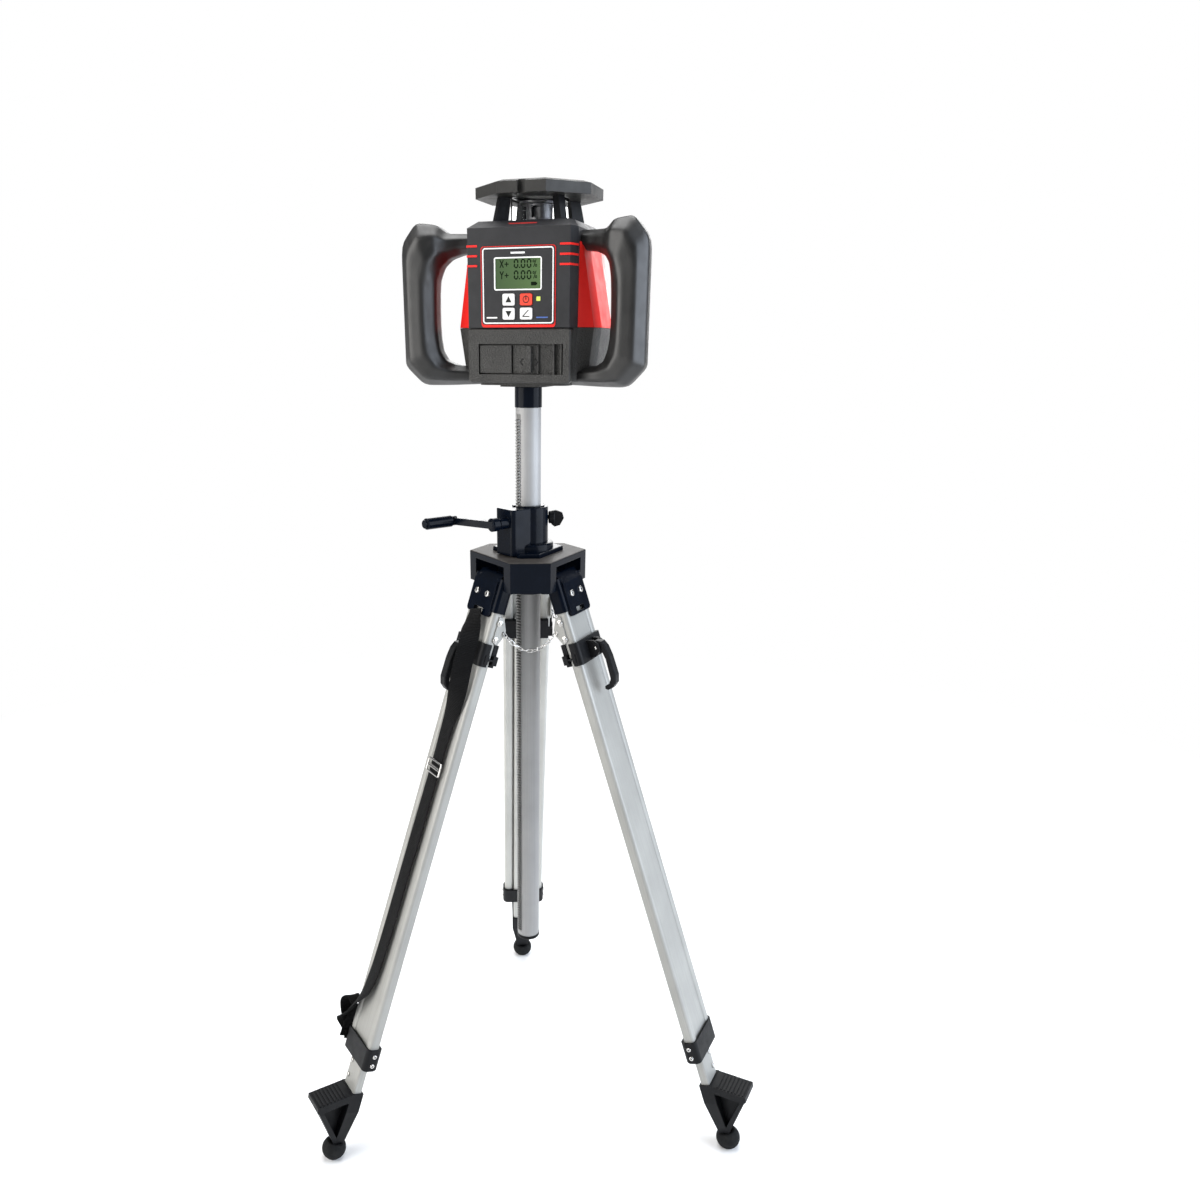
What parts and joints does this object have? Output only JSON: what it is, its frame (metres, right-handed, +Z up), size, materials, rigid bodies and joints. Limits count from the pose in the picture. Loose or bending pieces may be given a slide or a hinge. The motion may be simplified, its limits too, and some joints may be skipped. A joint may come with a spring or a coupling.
{
  "type": "laser level on tripod",
  "caption": "Rotating laser level with side handles on an elevating aluminium tripod with folding, extending legs.",
  "frame": {"origin": "on the ground under the column's axis, midway between the three feet", "axes": "+Z up along the column; +Y towards the back leg, with the laser's display facing -Y and 20 degrees towards -X"},
  "size_m": [0.6312, 0.5466, 1.2725],
  "materials": {
    "shoulder_paint": "matte",
    "gloss_black": "gloss",
    "matte_black": "satin",
    "steel": "brushed",
    "bright_chrome": "polished",
    "anodised": "satin anodised",
    "rubber_black": "matte",
    "webbing": "woven",
    "housing_grey": "fine texture",
    "pebbled_black": "pebbled",
    "red_gloss": "gloss",
    "button_white": "satin",
    "button_red": "satin",
    "lcd_green": "gloss",
    "board_green": "satin",
    "glass_clear": "polished",
    "cell_wrap": "gloss"
  },
  "bodies": {
    "hub": {"hub_casting": "shoulder_paint", "crank_housing": "gloss_black", "column_bushes": "matte_black", "leg_hinge_pins": "steel", "spreader_chains": "bright_chrome"},
    "leg_left": {"leg_bracket_left": "gloss_black", "upper_leg_left": "anodised", "leg_collar_left": "matte_black", "carry_strap": "webbing"},
    "foot_left": {"lower_leg_left": "anodised", "leg_clamp_left": "matte_black", "foot_casting_left": "matte_black", "foot_ball_left": "rubber_black"},
    "lever_left": {"cam_lever_left": "matte_black"},
    "leg_right": {"leg_bracket_right": "gloss_black", "upper_leg_right": "anodised", "leg_collar_right": "matte_black"},
    "foot_right": {"lower_leg_right": "anodised", "leg_clamp_right": "matte_black", "foot_casting_right": "matte_black", "foot_ball_right": "rubber_black"},
    "lever_right": {"cam_lever_right": "matte_black"},
    "leg_back": {"leg_bracket_back": "gloss_black", "upper_leg_back": "anodised", "leg_collar_back": "matte_black"},
    "foot_back": {"lower_leg_back": "anodised", "leg_clamp_back": "matte_black", "foot_casting_back": "matte_black", "foot_ball_back": "rubber_black"},
    "lever_back": {"cam_lever_back": "matte_black"},
    "column": {"column_tube": "anodised", "column_rack": "steel", "column_head": "gloss_black", "column_end_cap": "matte_black", "mounting_screw": "steel"},
    "crank": {"crank_arm": "gloss_black"},
    "grip": {"crank_grip": "matte_black"},
    "pinion": {"pinion_shaft": "steel"},
    "lock": {"lock_knob": "matte_black"},
    "laser": {"laser_base": "pebbled_black", "lower_housing": "pebbled_black", "upper_housing": "housing_grey", "side_panels": "red_gloss", "red_trim": "red_gloss", "carry_handles": "rubber_black", "control_panel": "housing_grey", "lcd_screen": "lcd_green", "circuit_board": "board_green", "lighthouse_frame": "matte_black", "lighthouse_glass": "glass_clear", "top_cap": "matte_black", "rotor_motor": "steel"},
    "rotor": {"rotor_head": "matte_black"},
    "battery": {"battery_tray": "pebbled_black", "battery_cells": "cell_wrap"},
    "latch": {"battery_latch": "pebbled_black"},
    "button_up": {"button_up": "button_white"},
    "button_down": {"button_down": "button_white"},
    "button_power": {"button_power": "button_red"},
    "button_slope": {"button_slope": "button_white"}
  },
  "joints": [
    {"name": "leg_left_fold", "type": "hinge", "parent": "hub", "child": "leg_left", "pos_m": [-0.04538, -0.0262, 0.807], "axis": [-0.5, 0.866, 0], "range_deg": [-19.2, 0], "deforming": ["spreader_chains"]},
    {"name": "leg_left_extend", "type": "slide", "parent": "leg_left", "child": "foot_left", "axis": [-0.2848, -0.1644, -0.9444], "range_m": [0, 0.5], "deforming": ["carry_strap"]},
    {"name": "lever_left_open", "type": "hinge", "parent": "foot_left", "child": "lever_left", "pos_m": [-0.09014, -0.05205, 0.72546], "axis": [-0.5, 0.866, 0], "range_deg": [0, 95]},
    {"name": "leg_right_fold", "type": "hinge", "parent": "hub", "child": "leg_right", "pos_m": [0.04538, -0.0262, 0.807], "axis": [-0.5, -0.866, 0], "range_deg": [-19.2, 0], "deforming": ["spreader_chains"]},
    {"name": "leg_right_extend", "type": "slide", "parent": "leg_right", "child": "foot_right", "axis": [0.2848, -0.1644, -0.9444], "range_m": [0, 0.5]},
    {"name": "lever_right_open", "type": "hinge", "parent": "foot_right", "child": "lever_right", "pos_m": [0.09014, -0.05205, 0.72546], "axis": [-0.5, -0.866, 0], "range_deg": [0, 95]},
    {"name": "leg_back_fold", "type": "hinge", "parent": "hub", "child": "leg_back", "pos_m": [0, 0.0524, 0.807], "axis": [1, 0, 0], "range_deg": [-19.2, 0], "deforming": ["spreader_chains"]},
    {"name": "leg_back_extend", "type": "slide", "parent": "leg_back", "child": "foot_back", "axis": [0, 0.3289, -0.9444], "range_m": [0, 0.5]},
    {"name": "lever_back_open", "type": "hinge", "parent": "foot_back", "child": "lever_back", "pos_m": [0, 0.10409, 0.72546], "axis": [1, 0, 0], "range_deg": [0, 95]},
    {"name": "column_lift", "type": "slide", "parent": "hub", "child": "column", "axis": [0, 0, 1], "range_m": [-0.12, 0.46]},
    {"name": "pinion_spin", "type": "hinge", "parent": "hub", "child": "pinion", "pos_m": [-0.01977, -0.0149, 0.883], "axis": [0.6018, -0.7986, 0], "range_deg": [-920, 3520]},
    {"name": "crank_turn", "type": "hinge", "parent": "hub", "child": "crank", "pos_m": [-0.01435, -0.02208, 0.883], "axis": [-0.7986, -0.6018, 0], "range_deg": [-920, 3520]},
    {"name": "grip_spin", "type": "hinge", "parent": "crank", "child": "grip", "pos_m": [-0.10696, -0.01924, 0.883], "axis": [-0.7986, -0.6018, 0], "continuous": true},
    {"name": "lock_turn", "type": "hinge", "parent": "hub", "child": "lock", "pos_m": [0.034, 0, 0.885], "axis": [1, 0, 0], "range_deg": [0, 270]},
    {"name": "laser_turn", "type": "hinge", "parent": "column", "child": "laser", "pos_m": [0, 0, 1.047], "axis": [0, 0, 1], "continuous": true},
    {"name": "rotor_spin", "type": "hinge", "parent": "laser", "child": "rotor", "pos_m": [0.01449, 0.02665, 1.244], "axis": [0, 0, 1], "continuous": true},
    {"name": "battery_slide", "type": "slide", "parent": "laser", "child": "battery", "axis": [-0.342, -0.9397, 0], "range_m": [0, 0.075]},
    {"name": "latch_slide", "type": "slide", "parent": "battery", "child": "latch", "axis": [0.9397, -0.342, 0], "range_m": [0, 0.01]},
    {"name": "button_up_press", "type": "slide", "parent": "laser", "child": "button_up", "axis": [0.342, 0.9397, 0], "range_m": [0, 0.001], "stiffness_N_per_m": 400},
    {"name": "button_down_press", "type": "slide", "parent": "laser", "child": "button_down", "axis": [0.342, 0.9397, 0], "range_m": [0, 0.001], "stiffness_N_per_m": 400},
    {"name": "button_power_press", "type": "slide", "parent": "laser", "child": "button_power", "axis": [0.342, 0.9397, 0], "range_m": [0, 0.001], "stiffness_N_per_m": 400},
    {"name": "button_slope_press", "type": "slide", "parent": "laser", "child": "button_slope", "axis": [0.342, 0.9397, 0], "range_m": [0, 0.001], "stiffness_N_per_m": 400}
  ],
  "couplings": [
    {"joint": "pinion_spin", "follows": "column_lift", "rad_per_m": 133.33},
    {"joint": "crank_turn", "follows": "column_lift", "rad_per_m": 133.33}
  ]
}
